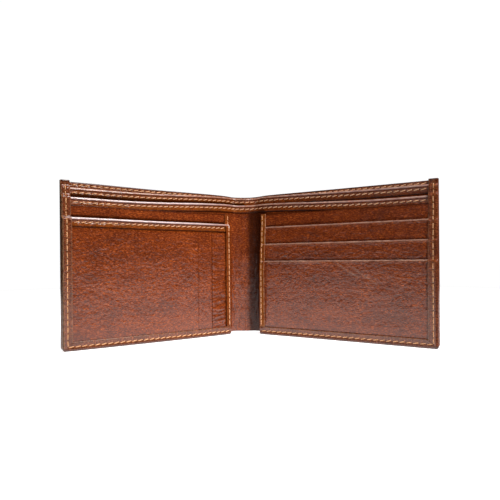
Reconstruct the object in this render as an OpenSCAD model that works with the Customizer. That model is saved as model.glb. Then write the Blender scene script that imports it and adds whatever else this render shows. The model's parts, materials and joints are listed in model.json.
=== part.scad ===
// Bifold leather wallet, standing open on its lower edge with its inside to the front.
// X runs along the open wallet, Y from the inside to the outside, and Z is up.
// The origin is the middle of the bounding box's bottom.
//
// Each half is drawn flat in its own frame: x runs outward from the fold line, z is the
// height above the base, and depth is measured forward, towards -Y, from the inner face
// of the outer shell. The spine is drawn in the same way about the wallet's middle.

/* [Wallet] */
// Height of the wallet at its bound sides
wallet_height = 90; // [84:1:100]
// Distance from a fold line to the outer edge of its half
half_width = 110; // [100:1:120]
// Angle that each half is swung forward from flat
rest_angle = 32; // [0:1:60]
// Gap between the two inner faces when the wallet is closed
closing_gap = 0.8; // [0.4:0.1:2]
// Distance from a fold line to the inner end of the pockets
pocket_start = 5.6; // [5:0.2:9]

/* [Leather and linings] */
// Thickness of the outer shell
shell_leather = 1.2; // [1:0.1:1.4]
// Thickness of the bill divider, the inner panel and the left pocket
panel_leather = 0.8; // [0.7:0.1:1]
// Thickness of the base panels that the pocket and the card slots are sewn to
base_leather = 0.6; // [0.6:0.1:0.8]
// Thickness of each card slot
slot_leather = 0.7; // [0.6:0.1:0.9]
// Thickness of the shell's edge where it is turned over the layers
turned_leather = 0.75; // [0.7:0.05:1]
// Thickness of the leather turned in at a hem
hem_leather = 0.3; // [0.2:0.05:0.3]
// Thickness of the lining cloth
cloth = 0.25; // [0.2:0.05:0.35]
// Thickness of the cardboard stiffener
cardboard = 0.4; // [0.3:0.1:0.6]
// Gap between neighbouring layers
layer_gap = 0.1; // [0.1:0.05:0.2]
// Gap of each empty bill compartment
bill_gap = 0.3; // [0.3:0.1:0.8]

/* [Edges and heights] */
// Width of the turned edge strip
strip_width = 5; // [4.5:0.5:6]
// Width of a base panel's inner edge, turned forward over the pockets
inner_strip_width = 3.8; // [3.6:0.2:5]
// Radius of the shell's turned edge
edge_round = 1.2; // [0.8:0.1:1.4]
// Rise of the spine's lower edge above the base
spine_rise = 1.2; // [0.8:0.2:2]
// Depth of a turned hem below its fold
hem_height = 5; // [4:0.5:6]
// Drop of the shell's hem below the top of the bound sides
shell_drop = 0.7; // [0.4:0.1:1]
// Drop of the bill divider
divider_drop = 3.2; // [2.8:0.1:5]
// Drop of the inner panel
panel_drop = 8; // [6:0.5:10]
// Drop of the left pocket
pocket_drop = 19.7; // [16:0.1:30]
// Drop of the top card slot
slot_drop = 21.6; // [18:0.1:26]
// Step down from one card slot to the next
slot_pitch = 10.8; // [10:0.1:13]

/* [Stitching] */
// Length of one stitch with its gap
stitch_pitch = 3.5; // [2.5:0.1:4.5]
// Width of the thread
thread_width = 0.6; // [0.5:0.1:0.7]
// Depth of the thread, which lies sunk in the leather
thread_depth = 0.4; // [0.3:0.05:0.45]
// Distance of the edge seam from the outer and lower edges
edge_seam = 2.4; // [2.2:0.1:3.4]
// Distance of the inner seam from the inner end of the pockets
inner_seam = 1.4; // [1.3:0.1:2.6]
// Distance of a hem's seam below its fold
hem_seam = 2.6; // [2:0.1:3]
// Distance of the shell's hem seam below its fold
shell_seam = 1.6; // [1.4:0.1:2]

/* [Hidden] */
$fn = 32;

// Depth of each layer's back face, from the shell forward
lining_depth = layer_gap;
divider_depth = lining_depth + cloth + bill_gap;
inner_lining_depth = divider_depth + panel_leather + bill_gap;
panel_depth = inner_lining_depth + cloth + layer_gap;
panel_face = panel_depth + panel_leather;
base_depth = panel_face + layer_gap;
base_face = base_depth + base_leather;

// Layers of the left half in front of its base panel
stiffener_depth = base_face + layer_gap;
pocket_lining_depth = stiffener_depth + cardboard + layer_gap;
pocket_depth = pocket_lining_depth + cloth + layer_gap;
pocket_face = pocket_depth + panel_leather;
left_depth = pocket_face + layer_gap + turned_leather;

// Layers of the right half in front of its base panel
slot_step = slot_leather + cloth + 2 * layer_gap;
top_slot_depth = base_face + layer_gap;
middle_slot_depth = top_slot_depth + slot_step;
bottom_slot_depth = middle_slot_depth + slot_step;
bottom_slot_face = bottom_slot_depth + slot_leather;
right_depth = bottom_slot_face + layer_gap + turned_leather;

// The fold lines lie far enough apart for the two stacks to close face to face
fold_half = (left_depth + right_depth + closing_gap) / 2;
fold_clearance = 0.3;
// The inner layers stand back from the fold lines by what their depth needs to turn
inner_start = panel_face + 2 * fold_clearance;
spine_end = fold_half - 3 * fold_clearance;

// Heights of the upper edges
shell_top = wallet_height - shell_drop;
divider_top = wallet_height - divider_drop;
panel_top = wallet_height - panel_drop;
base_top = panel_top - hem_height - 2 * layer_gap;
pocket_top = wallet_height - pocket_drop;
top_slot_top = wallet_height - slot_drop;
middle_slot_top = top_slot_top - slot_pitch;
bottom_slot_top = middle_slot_top - slot_pitch;

// The layers end just inside the shell's turned edge
layer_base = shell_leather + layer_gap;
layer_end = half_width - shell_leather - layer_gap;
spine_base = spine_rise + layer_gap;
strip_end = half_width - strip_width;
inner_strip_end = pocket_start + inner_strip_width;
// The pockets start just inside the turned inner edge of their base panel
stack_start = pocket_start + base_leather + layer_gap;
// A lining's upper edge lies below the hem in front of it
lining_drop = hem_height + layer_gap;
stiffener_start = 20;
stiffener_drop = 8;
slot_bag_height = 26;
seam_margin = 1;
stitch_gap = 0.5;
stitch_dip = 0.2;
groove_clearance = 0.05;
overlap = 0.01;

// The front of the right half's outer edge reaches furthest forward
front_reach = (half_width - edge_round) * sin(rest_angle)
    + (right_depth - edge_round) * cos(rest_angle) + edge_round;
middle_y = (front_reach - shell_leather) / 2;

outer_colour = "saddlebrown";
inner_colour = "sienna";
cloth_colour = "tan";
thread_colour = "peru";
cardboard_colour = "wheat";

module spine() {
    translate([0, middle_y, 0])
        children();
}

// Swings a flat right half to its rest angle
module right_half() {
    translate([fold_half, middle_y, 0])
        rotate([0, 0, -rest_angle])
            children();
}

// Swings a flat left half to its rest angle
module left_half() {
    translate([-fold_half, middle_y, 0])
        rotate([0, 0, rest_angle])
            mirror([1, 0, 0])
                children();
}

// A flat layer with its upper edge rounded over
module sheet(from, to, low, high, depth, thick) {
    radius = thick / 2;
    translate([from, -depth - thick, low])
        cube([to - from, thick, high - radius - low]);
    translate([from, -depth - radius, high - radius])
        rotate([0, 90, 0])
            cylinder(r = radius, h = to - from);
}

// The leather turned in below an upper edge, with its front face at the given depth
module turned_hem(from, to, high, depth) {
    translate([from, -depth, high - hem_height])
        cube([to - from, hem_leather, hem_height - shell_leather / 2]);
}

// A leather layer with its hem turned to the back and a groove for the hem's seam
module hemmed_sheet(from, to, low, high, depth) {
    difference() {
        union() {
            sheet(from, to, low, high, depth, panel_leather);
            turned_hem(from, to, high, depth);
        }
        hem_groove(from, to, high - hem_seam, depth + panel_leather);
    }
}

// A lining cloth or a sheet of cardboard, square-cut on all sides
module liner(from, to, low, high, depth, thick) {
    translate([from, -depth - thick, low])
        cube([to - from, thick, high - low]);
}

// A groove that a thread lies in, slightly wider and deeper than the thread
module groove(from, to, low, high, face) {
    margin = thread_width / 2 + groove_clearance;
    translate([from - margin, -face - overlap, low - margin])
        cube([
            to - from + 2 * margin,
            thread_depth + groove_clearance + overlap,
            high - low + 2 * margin
        ]);
}

module hem_groove(from, to, height, face) {
    groove(from + seam_margin, to - seam_margin, height, height, face);
}

function stitch_count(length) = floor(length / stitch_pitch);

// Outline of a thread in its groove: its top dips where it enters the leather
function thread_outline(length, pitch) = concat(
    [[0, thread_depth], [0, 0]],
    [for (i = [1:stitch_count(length) - 1], step = [
            [-stitch_gap / 2, 0], [-stitch_gap / 2, stitch_dip],
            [stitch_gap / 2, stitch_dip], [stitch_gap / 2, 0]])
        [i * pitch, 0] + step],
    [[length, 0], [length, thread_depth]]
);

module thread(length) {
    linear_extrude(height = thread_width)
        polygon(thread_outline(length, length / stitch_count(length)));
}

module thread_across(from, to, height, face) {
    translate([from, -face, height - thread_width / 2])
        thread(to - from);
}

module thread_up(at, low, high, face) {
    translate([at + thread_width / 2, -face, low])
        rotate([0, -90, 0])
            thread(high - low);
}

module hem_thread(from, to, height, face) {
    thread_across(from + seam_margin, to - seam_margin, height, face);
}

// Section of the shell's turned edge, out around the stack of layers and back over it
module turned_section(depth) {
    section_height = depth + shell_leather;
    difference() {
        union() {
            translate([edge_round, -shell_leather])
                square([strip_width - edge_round, section_height]);
            translate([0, edge_round - shell_leather])
                square([strip_width, section_height - 2 * edge_round]);
            for (centre = [edge_round - shell_leather, depth - edge_round])
                translate([edge_round, centre])
                    circle(r = edge_round);
        }
        translate([shell_leather, 0])
            square([strip_width, depth - turned_leather]);
    }
}

module side_edge(depth) {
    translate([half_width, 0, 0])
        rotate([0, 0, 180])
            linear_extrude(height = wallet_height)
                turned_section(depth);
}

module bottom_edge(depth) {
    translate([pocket_start, 0, 0])
        rotate([0, -90, 180])
            linear_extrude(height = half_width - pocket_start - edge_round)
                turned_section(depth);
}

// One half of the outer shell, with its side and lower edges turned over the layers
module shell_half(depth) {
    seam_end = half_width - edge_seam;
    color(outer_colour)
        difference() {
            union() {
                sheet(fold_clearance, half_width - edge_round, 0, shell_top,
                    -shell_leather, shell_leather);
                turned_hem(fold_clearance, half_width - edge_round, shell_top, hem_leather);
                side_edge(depth);
                bottom_edge(depth);
            }
            groove(seam_end, seam_end, edge_seam, wallet_height - edge_seam, depth);
            groove(pocket_start + inner_seam, seam_end, edge_seam, edge_seam, depth);
            hem_groove(fold_clearance, strip_end, shell_top - shell_seam, hem_leather);
        }
}

// The threads of the shell's side and lower edges
module edge_threads(depth) {
    seam_end = half_width - edge_seam;
    color(thread_colour) {
        thread_up(seam_end, edge_seam, wallet_height - edge_seam, depth);
        thread_across(pocket_start + inner_seam, seam_end - stitch_pitch / 2, edge_seam, depth);
    }
}

module shell_lining(from, to, low) {
    color(cloth_colour)
        liner(from, to, low, shell_top - lining_drop, lining_depth, cloth);
}

module bill_divider(from, to, low) {
    color(inner_colour)
        hemmed_sheet(from, to, low, divider_top, divider_depth);
}

module inner_lining(from, to, low) {
    color(cloth_colour)
        liner(from, to, low, panel_top - lining_drop, inner_lining_depth, cloth);
}

module inner_panel(from, to, low) {
    color(inner_colour)
        hemmed_sheet(from, to, low, panel_top, panel_depth);
}

// Section of a base panel's inner edge, turned forward, with its front face at a depth
module inner_turn(front) {
    start = pocket_start + base_leather;
    difference() {
        union() {
            translate([start, -front])
                square([inner_strip_width - base_leather, front - base_depth]);
            translate([pocket_start, base_leather - front])
                square([inner_strip_width, front - base_leather - base_depth]);
            translate([start, base_leather - front])
                circle(r = base_leather);
        }
        translate([start, base_leather - front])
            square([inner_strip_width, front - base_leather - base_face]);
    }
}

// A base panel with its inner edge turned over the pockets, whose front face is given
module base_panel(face) {
    front = face + layer_gap + base_leather;
    low = strip_width + layer_gap;
    seam = pocket_start + inner_seam;
    color(inner_colour)
        difference() {
            union() {
                liner(pocket_start, layer_end, layer_base, base_top, base_depth, base_leather);
                translate([0, 0, low])
                    linear_extrude(height = base_top - low)
                        inner_turn(front);
            }
            groove(seam, seam, strip_width + seam_margin, base_top - seam_margin, front);
        }
}

// The thread of a base panel's inner edge
module inner_edge_stitch(face) {
    color(thread_colour)
        thread_up(pocket_start + inner_seam, strip_width + seam_margin,
            base_top - seam_margin, face + layer_gap + base_leather);
}

module shell_hem_stitch(from, to) {
    color(thread_colour)
        hem_thread(from, to, shell_top - shell_seam, hem_leather);
}

module divider_hem_stitch(from, to) {
    color(thread_colour)
        hem_thread(from, to, divider_top - hem_seam, divider_depth + panel_leather);
}

module panel_hem_stitch(from, to) {
    color(thread_colour)
        hem_thread(from, to, panel_top - hem_seam, panel_face);
}

module outer_shell_spine() {
    reach = fold_half - fold_clearance;
    color(outer_colour)
        spine()
            difference() {
                union() {
                    sheet(-reach, reach, spine_rise, shell_top, -shell_leather, shell_leather);
                    turned_hem(-reach, reach, shell_top, hem_leather);
                }
                hem_groove(-reach, reach, shell_top - shell_seam, hem_leather);
            }
}

module shell_lining_spine() { spine() shell_lining(-spine_end, spine_end, spine_base); }
module bill_divider_spine() { spine() bill_divider(-spine_end, spine_end, spine_base); }
module inner_lining_spine() { spine() inner_lining(-spine_end, spine_end, spine_base); }
module inner_panel_spine() { spine() inner_panel(-spine_end, spine_end, spine_base); }
module shell_hem_stitch_spine() { spine() shell_hem_stitch(-spine_end, spine_end); }
module divider_hem_stitch_spine() { spine() divider_hem_stitch(-spine_end, spine_end); }
module panel_hem_stitch_spine() { spine() panel_hem_stitch(-spine_end, spine_end); }

module outer_shell_left() { left_half() shell_half(left_depth); }
module shell_lining_left() { left_half() shell_lining(inner_start, layer_end, layer_base); }
module bill_divider_left() { left_half() bill_divider(inner_start, layer_end, layer_base); }
module inner_lining_left() { left_half() inner_lining(inner_start, layer_end, layer_base); }
module inner_panel_left() { left_half() inner_panel(inner_start, layer_end, layer_base); }

module left_pocket_base() { left_half() base_panel(pocket_face); }

module pocket_stiffener() {
    color(cardboard_colour)
        left_half()
            liner(stiffener_start, layer_end, layer_base, pocket_top - stiffener_drop,
                stiffener_depth, cardboard);
}

module left_pocket_lining() {
    color(cloth_colour)
        left_half()
            liner(stack_start, layer_end, layer_base, pocket_top - lining_drop,
                pocket_lining_depth, cloth);
}

module left_pocket() {
    color(inner_colour)
        left_half()
            hemmed_sheet(stack_start, layer_end, layer_base, pocket_top, pocket_depth);
}

module shell_hem_stitch_left() { left_half() shell_hem_stitch(inner_start, strip_end); }
module divider_hem_stitch_left() { left_half() divider_hem_stitch(inner_start, strip_end); }
module panel_hem_stitch_left() { left_half() panel_hem_stitch(inner_start, strip_end); }

module pocket_hem_stitch() {
    color(thread_colour)
        left_half()
            hem_thread(inner_strip_end, strip_end, pocket_top - hem_seam, pocket_face);
}

module edge_stitch_left() { left_half() edge_threads(left_depth); }

module inner_edge_stitch_left() { left_half() inner_edge_stitch(pocket_face); }

module outer_shell_right() { right_half() shell_half(right_depth); }
module shell_lining_right() { right_half() shell_lining(inner_start, layer_end, layer_base); }
module bill_divider_right() { right_half() bill_divider(inner_start, layer_end, layer_base); }
module inner_lining_right() { right_half() inner_lining(inner_start, layer_end, layer_base); }
module inner_panel_right() { right_half() inner_panel(inner_start, layer_end, layer_base); }

module card_slot_base() { right_half() base_panel(bottom_slot_face); }

// A card slot with a plain edge
module card_slot(top, depth) {
    color(inner_colour)
        right_half()
            sheet(stack_start, layer_end, layer_base, top, depth, slot_leather);
}

// The cloth bag that a card rests in, behind the leather of the slot
module slot_bag(top, depth) {
    color(cloth_colour)
        right_half()
            liner(stack_start, layer_end, top - slot_bag_height, top - seam_margin,
                depth - layer_gap - cloth, cloth);
}

module card_slot_top() { card_slot(top_slot_top, top_slot_depth); }
module slot_bag_middle() { slot_bag(middle_slot_top, middle_slot_depth); }
module card_slot_middle() { card_slot(middle_slot_top, middle_slot_depth); }
module slot_bag_bottom() { slot_bag(bottom_slot_top, bottom_slot_depth); }
module card_slot_bottom() { card_slot(bottom_slot_top, bottom_slot_depth); }

module shell_hem_stitch_right() { right_half() shell_hem_stitch(inner_start, strip_end); }
module divider_hem_stitch_right() { right_half() divider_hem_stitch(inner_start, strip_end); }
module panel_hem_stitch_right() { right_half() panel_hem_stitch(inner_start, strip_end); }
module edge_stitch_right() { right_half() edge_threads(right_depth); }

module inner_edge_stitch_right() { right_half() inner_edge_stitch(bottom_slot_face); }

outer_shell_spine();
shell_lining_spine();
bill_divider_spine();
inner_lining_spine();
inner_panel_spine();
shell_hem_stitch_spine();
divider_hem_stitch_spine();
panel_hem_stitch_spine();
outer_shell_left();
shell_lining_left();
bill_divider_left();
inner_lining_left();
inner_panel_left();
left_pocket_base();
pocket_stiffener();
left_pocket_lining();
left_pocket();
shell_hem_stitch_left();
divider_hem_stitch_left();
panel_hem_stitch_left();
pocket_hem_stitch();
edge_stitch_left();
inner_edge_stitch_left();
outer_shell_right();
shell_lining_right();
bill_divider_right();
inner_lining_right();
inner_panel_right();
card_slot_base();
card_slot_top();
slot_bag_middle();
card_slot_middle();
slot_bag_bottom();
card_slot_bottom();
shell_hem_stitch_right();
divider_hem_stitch_right();
panel_hem_stitch_right();
edge_stitch_right();
inner_edge_stitch_right();
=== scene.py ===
import json
import math

import bmesh
import bpy
import mathutils
import numpy as np
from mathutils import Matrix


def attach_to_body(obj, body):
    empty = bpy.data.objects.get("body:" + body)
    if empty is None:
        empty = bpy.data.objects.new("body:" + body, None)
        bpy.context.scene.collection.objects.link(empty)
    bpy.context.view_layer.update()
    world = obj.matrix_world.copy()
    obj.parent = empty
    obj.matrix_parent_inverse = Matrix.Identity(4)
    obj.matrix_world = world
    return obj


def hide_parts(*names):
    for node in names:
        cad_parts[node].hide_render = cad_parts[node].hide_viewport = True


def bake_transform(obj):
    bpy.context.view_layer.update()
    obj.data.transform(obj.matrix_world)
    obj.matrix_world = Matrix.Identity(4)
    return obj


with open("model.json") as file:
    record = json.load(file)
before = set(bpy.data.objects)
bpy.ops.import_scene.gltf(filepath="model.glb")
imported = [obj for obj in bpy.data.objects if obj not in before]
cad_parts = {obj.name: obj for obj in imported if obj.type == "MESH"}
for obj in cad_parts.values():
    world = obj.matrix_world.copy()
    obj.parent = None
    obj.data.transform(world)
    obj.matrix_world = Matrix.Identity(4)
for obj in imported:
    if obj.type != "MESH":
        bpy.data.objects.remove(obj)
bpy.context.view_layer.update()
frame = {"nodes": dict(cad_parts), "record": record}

# A bifold wallet. Every piece is first described flat, in millimetres: s is the distance from
# the middle of the spine, z the height, and depth the distance forward from the outer shell's
# inner face. place() then bends it round the fold lines to the rest pose.

# ---- sizes from the frame

MM = 1000.0
LEFT, RIGHT = -1, 1
SIDE_NAME = {LEFT: "left", RIGHT: "right"}
BODY = {LEFT: "left_half", RIGHT: "right_half"}
HINGE = {joint["name"]: joint for joint in frame["record"]["behaviour"]["joints"]}["fold_right"]
HINGE_X, HINGE_Y = (MM * value for value in HINGE["pos_m"][:2])
REST_FOLD = math.radians(HINGE["range_deg"][1])


def sided(stem, side):
    return stem + "_" + SIDE_NAME[side]


def flat_box(node, side):
    """Lowest and highest (s, depth, z) of a CAD node with its half laid flat."""
    mesh = frame["nodes"][node].data
    points = np.empty(len(mesh.vertices) * 3, np.float32)
    mesh.vertices.foreach_get("co", points)
    points = points.reshape(-1, 3).astype(float) * MM
    out = side * points[:, 0] - HINGE_X
    forward = HINGE_Y - points[:, 1]
    turn = 0.0 if node.endswith("spine") else REST_FOLD
    flat = np.stack([
        HINGE_X + out * math.cos(turn) + forward * math.sin(turn),
        forward * math.cos(turn) - out * math.sin(turn),
        points[:, 2],
    ], 1)
    return flat.min(0), flat.max(0)


LOW, HIGH = {}, {}
for body, nodes in frame["record"]["behaviour"]["bodies"].items():
    for node in nodes:
        LOW[node], HIGH[node] = flat_box(node, LEFT if body == "left_half" else RIGHT)

OUTER = HIGH["outer_shell_left"][0]
HEIGHT = HIGH["outer_shell_left"][2]
SHELL = -LOW["outer_shell_left"][1]
SHELL_TOP = HIGH["outer_shell_spine"][2]
SPINE_RISE = LOW["outer_shell_spine"][2]
STACK = LOW["left_pocket_base"][0]
LAYER_END = HIGH["left_pocket"][0]
PANEL_FACE = HIGH["inner_panel_left"][1]
BASE_FACE = LOW["pocket_stiffener"][1] - 0.1
BASE_TOP = HIGH["left_pocket_base"][2]
GAP = 0.1
LEATHER = PANEL_FACE - HIGH["inner_lining_left"][1] - GAP
BASE_LEATHER = BASE_FACE - LOW["left_pocket_base"][1]
HEM = HIGH["outer_shell_spine"][1]

STRIP = 5.0
STRIP_LEATHER = 0.75
INNER_STRIP = 3.8
EDGE_ROUND = 1.2
HEM_HEIGHT = 5.0
EDGE_SEAM = 2.4
INNER_SEAM = 1.4
HEM_SEAM = 2.6
SHELL_SEAM = 1.6
STITCH = 3.5
BEND_REACH = 6.2
SPINE_SINK = 0.9
LEFT_CLIMB = 0.9

# ---- small shape functions


def ease(value, low, high):
    """0 below low, 1 above high, and smooth between them."""
    share = np.clip((np.asarray(value, float) - low) / (high - low), 0, 1)
    return share * share * (3 - 2 * share)


def bell(value, width):
    return np.exp(-(np.asarray(value, float) / width) ** 2)


def noise(s, z, cell_s, cell_z, seed):
    """Smooth random waves from -1 to 1, with cells of the given size."""
    size = 64
    lattice = np.random.RandomState(seed).uniform(-1, 1, (size, size))
    a, b = np.asarray(s, float) / cell_s, np.asarray(z, float) / cell_z
    i, j = np.floor(a).astype(int), np.floor(b).astype(int)
    fa, fb = ease(a - i, 0, 1), ease(b - j, 0, 1)

    def corner(di, dj):
        return lattice[(i + di) % size, (j + dj) % size]

    near = corner(0, 0) * (1 - fa) + corner(1, 0) * fa
    far = corner(0, 1) * (1 - fa) + corner(1, 1) * fa
    return near * (1 - fb) + far * fb


def bow(side, s):
    """How far a whole half bows forward of its flat plane; the two halves nest when shut."""
    out = np.clip((s - HINGE_X) / (OUTER - HINGE_X), 0, 1)
    height = 0.9 if side == LEFT else -0.5
    return height * np.sin(math.pi * out ** 0.85) * ease(s - HINGE_X, 4, 22)


def press(s, depth, z):
    """The layers in front of the inner panel are pulled together where they are sewn."""
    sewn = np.maximum(bell(s - STACK - INNER_SEAM, 2.6), bell(OUTER - EDGE_SEAM - s, 3.5))
    sewn = np.maximum(sewn, bell(z - EDGE_SEAM, 3.2))
    slack = ease(s, STACK + 4, STACK + 30) * ease(OUTER - s, 8, 34) * ease(z, 12, 60)
    above = np.clip(depth - PANEL_FACE, 0, None)
    return depth - 0.22 * above * sewn + 0.09 * above * slack


def climb(side, s, z):
    """How far the upper edge sinks at the spine and stands taller at the left end."""
    rise = -SPINE_SINK * bell(s, 11.0) + LEFT_CLIMB * ease(s, 55, OUTER) * (side == LEFT)
    return rise * np.clip(z / HEIGHT, 0, 1) ** 2


def place(side, s, depth, z):
    """Flat millimetres to the frame, in metres."""
    s, depth, z = np.broadcast_arrays(*(np.asarray(v, float) for v in (s, depth, z)))
    z = z + climb(side, s, z)
    depth = press(s, depth, z) + bow(side, s)
    out = s - HINGE_X
    turn = REST_FOLD * ease(out, -BEND_REACH, BEND_REACH)
    x = HINGE_X + out * np.cos(turn) - depth * np.sin(turn)
    y = HINGE_Y - out * np.sin(turn) - depth * np.cos(turn)
    return np.stack([side * x, y, z], -1) / MM


# ---- mesh building

ROUNDING = (0.0, 0.05, 0.18, 0.4, 0.7, 1.0)
ON_CUT = 1e-7


def lines(low, high, step, *dense, edge=0.4, cut=False):
    """Grid lines from low to high, finer near each (place, reach, step) and at the edges."""
    start = low if cut else low + edge
    wanted = list(np.linspace(start, high - edge, max(2, round((high - low) / step)) + 1))
    for middle, reach, fine in dense:
        wanted += list(np.arange(middle - reach, middle + reach, fine))
    kept = [start]
    for value in sorted(wanted):
        if kept[-1] + 0.12 < value < high - edge - 0.1:
            kept.append(value)
    kept.append(high - edge)
    before = [] if cut else [low + edge * share for share in ROUNDING[:-1]]
    after = [high - edge * share for share in reversed(ROUNDING[:-1])]
    return np.array(before + kept + after)


def fine_above(covered, low, high, edge):
    """Grid lines of a layer that shows only above the one in front of it."""
    shown = np.arange(covered - 2, high, 0.6)
    return lines(low, high, 3.0, *[(value, 0.3, 0.6) for value in shown], edge=edge)


def folded(side, outer, inner, fullness):
    """Front and back of a turned edge from its two skins, each given as (s, depth, z).

    Where fullness falls to 0, the skins meet halfway.
    """
    middle = [(a + b) / 2 for a, b in zip(outer, inner)]
    return [place(side, *(m + sign * fullness * (a - m) for a, m in zip(outer, middle)))
            for sign in (1, -1)]


def unrolled(across, depth):
    """Distance along the leather round a profile."""
    return np.concatenate([[0], np.cumsum(np.hypot(np.diff(across), np.diff(depth)))])


def rounding(distance, radius):
    """Share of a sheet's full thickness at a distance from its rounded edge."""
    return np.sqrt(1 - (1 - np.clip(distance / radius, 0, 1)) ** 2)


def add_object(name, data):
    obj = bpy.data.objects.new(name, data)
    bpy.context.scene.collection.objects.link(obj)
    return obj


def make_object(name, points, quads, triangles, uv, attributes, material):
    """A mesh object from arrays; uv and attributes are per point."""
    mesh = bpy.data.meshes.new(name)
    mesh.vertices.add(len(points))
    mesh.vertices.foreach_set("co", points.astype(np.float32).ravel())
    corners = np.concatenate([quads.ravel(), triangles.ravel()]).astype(np.int32)
    starts = np.cumsum([0] + [4] * len(quads) + [3] * len(triangles))[:-1].astype(np.int32)
    mesh.loops.add(len(corners))
    mesh.loops.foreach_set("vertex_index", corners)
    mesh.polygons.add(len(starts))
    mesh.polygons.foreach_set("loop_start", starts)
    mesh.update(calc_edges=True)
    mesh.validate()
    sheet_map = mesh.uv_layers.new(name="flat")
    order = np.empty(len(mesh.loops), np.int32)
    mesh.loops.foreach_get("vertex_index", order)
    sheet_map.data.foreach_set("uv", uv[order].astype(np.float32).ravel())
    for key, values in attributes.items():
        layer = mesh.attributes.new(key, "FLOAT", "POINT")
        layer.data.foreach_set("value", np.asarray(values, np.float32))
    work = bmesh.new()
    work.from_mesh(mesh)
    bmesh.ops.recalc_face_normals(work, faces=work.faces)
    work.to_mesh(mesh)
    work.free()
    mesh.shade_smooth()
    mesh.materials.append(material)
    return add_object(name, mesh)


def leaf(name, front, back, uv, attributes, material, cut=False):
    """A closed leaf from two grids of points that meet along their rims.

    With cut, the first row is a square-cut end, where the other half's piece carries on.
    """
    rows, columns = front.shape[:2]
    ahead = np.arange(rows * columns).reshape(rows, columns)
    own = np.zeros((rows, columns), bool)
    own[0 if cut else 1:-1, 1:-1] = True
    behind = ahead.copy()
    behind[own] = rows * columns + np.arange(own.sum())

    def grid_quads(index):
        return np.stack([index[:-1, :-1], index[1:, :-1], index[1:, 1:], index[:-1, 1:]], -1)

    quads = [grid_quads(ahead).reshape(-1, 4), grid_quads(behind)[..., ::-1].reshape(-1, 4)]
    triangles = np.zeros((0, 3), int)
    if cut:
        quads.append(np.stack(
            [ahead[0, 1:-2], ahead[0, 2:-1], behind[0, 2:-1], behind[0, 1:-2]], -1))
        triangles = np.array([
            [ahead[0, 0], ahead[0, 1], behind[0, 1]],
            [ahead[0, -1], behind[0, -2], ahead[0, -2]],
        ])
    points = np.concatenate([front.reshape(-1, 3), back[own]])

    def both(values):
        values = np.broadcast_to(values, (rows, columns))
        return np.concatenate([values.ravel(), values[own]])

    flat = np.concatenate([uv.reshape(-1, 2), uv[own]])
    per_point = {key: both(values) for key, values in attributes.items()}
    obj = make_object(
        name, points, np.concatenate(quads), triangles, flat, per_point, material)
    if cut:
        soften_cut(obj)
    return obj


def soften_cut(obj):
    """Shades the square-cut end flat, so that the two halves' surfaces run on smoothly."""
    for face in obj.data.polygons:
        face.use_smooth = abs(face.center.x) > ON_CUT


PIECE_OFFSET = {}


def flat_map(name, s, z):
    """Flat-pattern coordinates in metres, moved aside so that no two pieces share a grain."""
    number = PIECE_OFFSET.setdefault(name, len(PIECE_OFFSET))
    return np.stack([s / MM + 0.37 * number, z / MM + 0.21 * number], -1)


def sheet(name, side, s_lines, z_lines, front, back, material, cut=False, roll=None,
          top=lambda s: 0, base=lambda s: 0, paint=lambda s, z: {}):
    """A sheet whose front and back depths are functions of s and z.

    top and base, functions of s, raise its upper and lower edges. roll is the height over
    which the upper edge is rounded. paint gives the colour attributes.
    """
    s, z = np.meshgrid(s_lines, z_lines, indexing="ij")
    low, high = z_lines[0], z_lines[-1]
    shown_z = z + top(s) * ease(z, low, high) + base(s) * (1 - ease(z, low, low + 14))
    ahead, behind = front(s, z), back(s, z)
    half = (ahead - behind) / 2
    rim = np.minimum(z - low, s_lines[-1] - s)
    if not cut:
        rim = np.minimum(rim, s - s_lines[0])
    fullness = half * np.minimum(rounding(rim, half), rounding(high - z, roll or half))
    middle = (ahead + behind) / 2
    attributes = {"burnish": bell(s_lines[-1] - s, 1.6), **paint(s, z)}
    attributes.setdefault("matt", attributes["burnish"])
    return leaf(
        name, place(side, s, middle + fullness, shown_z),
        place(side, s, middle - fullness, shown_z),
        flat_map(name, side * s, shown_z), attributes, material, cut)


# ---- leather relief

# For each layer: its seam, the seam's distance from the edge, and how far that edge stands
# above its CAD height at the left end, the spine and the right end.
HEMS = {
    "outer_shell": ("shell_hem_stitch", SHELL_SEAM, 0.0, 0.0, 0.0),
    "bill_divider": ("divider_hem_stitch", HEM_SEAM, -0.6, 1.6, 0.3),
    "inner_panel": ("panel_hem_stitch", HEM_SEAM, -1.0, 1.7, -1.1),
}


def edge_rise(layer, side, s):
    """How far a hemmed layer's upper edge stands above its CAD height at s."""
    left_end, middle, right_end = HEMS[layer][2:]
    end = left_end if side == LEFT else right_end
    return middle + (end - middle) * ease(s, 0, 0.8 * OUTER)


def creases(s, z, seed):
    """Shallow waves and the broken grain of leather that was handled."""
    wrinkles = 1 - 2 * np.abs(noise(s, z, 1.9, 1.3, seed + 1))
    return (0.05 * noise(s, z, 11, 7, seed) + 0.03 * wrinkles
            + 0.045 * noise(s, z, 1.35, 0.95, seed + 2))


def seam_along(s, z, at, low, high):
    """The hollow that a seam running along s pulls, deepest at the ends of its stitches."""
    inside = ease(s, low - 0.6, low) * ease(high + 0.6 - s, 0, 0.6)
    count = round((high - low) / STITCH)
    step = (high - low) / count
    phase = np.abs((s - low) / step - np.round((s - low) / step)) * step
    return -inside * (0.08 * bell(z - at, 0.6) + 0.15 * bell(z - at, 0.38) * bell(phase, 0.42))


def seam_up(s, z, at, low, high):
    return seam_along(z, s, at, low, high)


def hem_band(z, top, foot=0.2):
    """1 on the band under an upper edge where the leather is turned in, and 0 below it."""
    return ease(z, top - HEM_HEIGHT - foot, top - HEM_HEIGHT + 0.2)


def hem_lines(low, top, step, *dense):
    """Grid lines of a hemmed layer, finer at its seam and where the hem ends."""
    return lines(low, top, step, *dense, (top - HEM_SEAM, 1.0, 0.2),
                 (top - HEM_HEIGHT, 0.9, 0.2), edge=0.8)


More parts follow.
